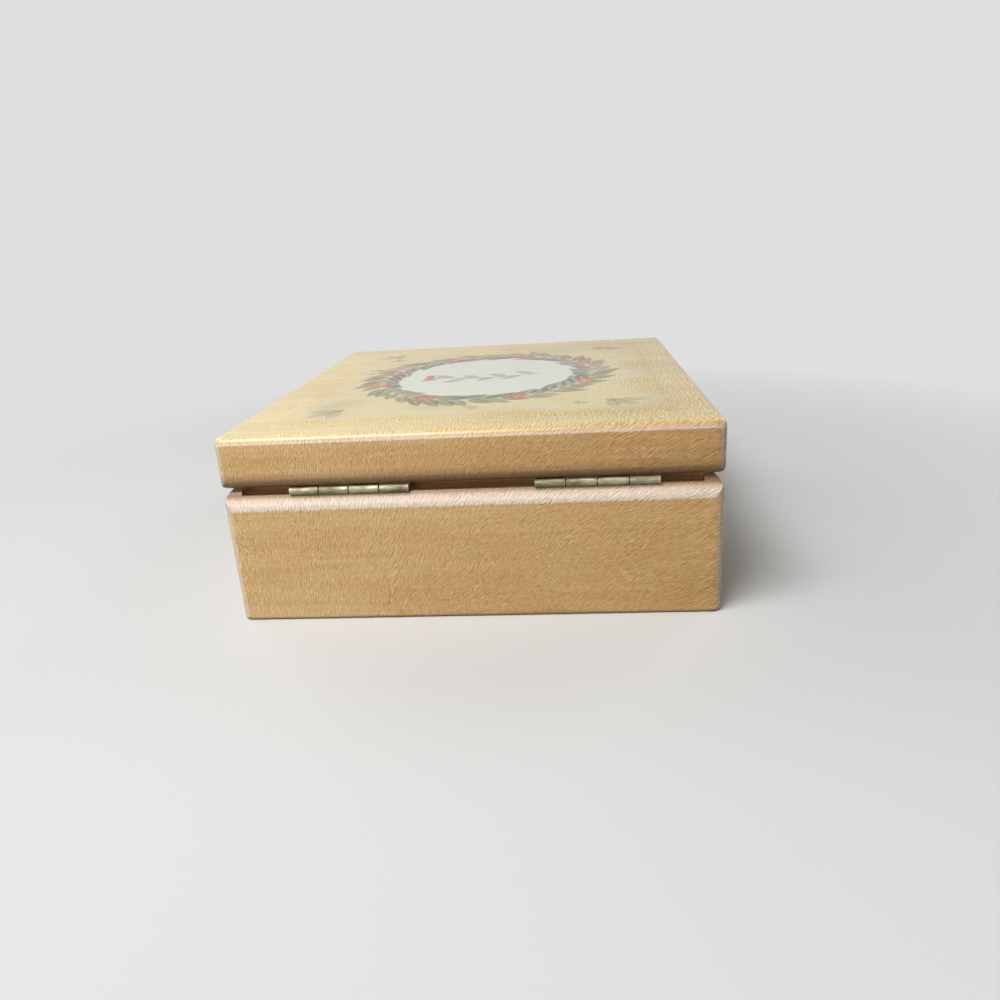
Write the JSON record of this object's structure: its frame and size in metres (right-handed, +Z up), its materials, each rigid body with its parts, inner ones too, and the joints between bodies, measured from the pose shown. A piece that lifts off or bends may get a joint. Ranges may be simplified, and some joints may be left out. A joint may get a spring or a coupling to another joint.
{
  "type": "trinket box",
  "caption": "Low wooden keepsake box with a thick hinged lid, a printed film on the lid, felt inside and small brass butt hinges let into a rounded back edge.",
  "frame": {"origin": "middle of the box's underside, on the surface that it stands on", "axes": "+Z up, +Y to the hinged back, -Y to the front, +X to the right as seen from the front"},
  "size_m": [0.124, 0.1376, 0.0497],
  "materials": {
    "wood": "satin clear lacquer on fine-grained pale hardwood",
    "panel_wood": "plain sanded panel, thin sealer",
    "printed_film": "thin printed film under clear lacquer",
    "felt": "short-pile wool felt",
    "hinge_brass": "pressed brass, slightly dulled",
    "screw_brass": "brass, slotted heads"
  },
  "bodies": {
    "base": {"base_front_wall": "wood", "base_back_wall": "wood", "base_left_wall": "wood", "base_right_wall": "wood", "base_bottom_panel": "panel_wood", "floor_felt": "felt", "left_hinge_base_leaf": "hinge_brass", "left_hinge_pin": "hinge_brass", "right_hinge_base_leaf": "hinge_brass", "right_hinge_pin": "hinge_brass", "hinge_screws_base": "screw_brass"},
    "lid": {"lid_board": "wood", "lid_film": "printed_film", "lid_felt": "felt", "left_hinge_lid_leaf": "hinge_brass", "right_hinge_lid_leaf": "hinge_brass", "hinge_screws_lid": "screw_brass"}
  },
  "joints": [
    {"name": "lid_hinge", "type": "hinge", "parent": "base", "child": "lid", "pos_m": [0, 0.06755, 0.0352], "axis": [-1, 0, 0], "range_deg": [0, 138]}
  ]
}
